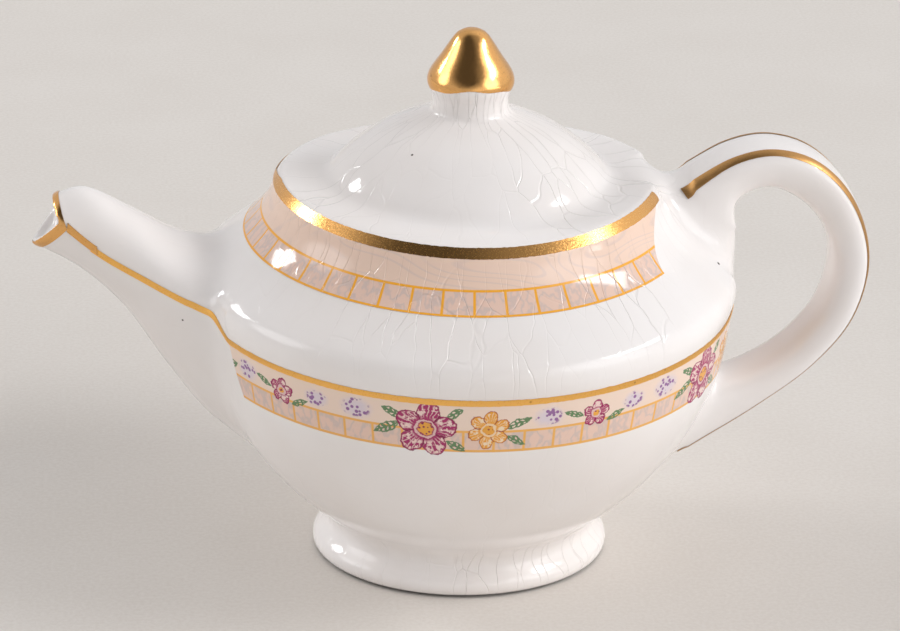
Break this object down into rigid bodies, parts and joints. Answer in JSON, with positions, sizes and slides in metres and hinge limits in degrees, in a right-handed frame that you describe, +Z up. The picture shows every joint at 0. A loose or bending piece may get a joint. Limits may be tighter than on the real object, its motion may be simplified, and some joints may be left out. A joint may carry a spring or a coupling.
{
  "type": "miniature teapot",
  "caption": "Small ornamental glazed teapot with a domed lid cast on, beaked spout, loop handle, gilded lines and printed bands, standing on a foot ring.",
  "frame": {"origin": "under the middle of the whole object's box, on the surface that it stands on", "axes": "+X from the spout to the handle, -Y the side shown in the picture, +Z up"},
  "size_m": [0.0788, 0.0512, 0.052],
  "materials": {
    "glazed_ware": "warm white gloss glaze with fine crazing",
    "collar_print": "peach printed band with a tiled border under the glaze",
    "waist_print": "peach printed band with flowers and a tiled border under the glaze",
    "gilding": "bright fired gold, slightly pitted"
  },
  "bodies": {
    "root": {"body": "glazed_ware", "foot_ring": "glazed_ware", "spout": "glazed_ware", "handle": "glazed_ware", "lid": "glazed_ware", "knob": "glazed_ware", "knob_gilding": "gilding", "rim_gilding": "gilding", "collar_transfer": "collar_print", "waist_gilding": "gilding", "waist_transfer": "waist_print", "spout_lip_gilding": "gilding", "spout_tip_gilding_front": "gilding", "spout_tip_gilding_back": "gilding", "spout_gilding_front": "gilding", "spout_gilding_back": "gilding", "handle_gilding_front": "gilding", "handle_gilding_back": "gilding"}
  },
  "joints": []
}
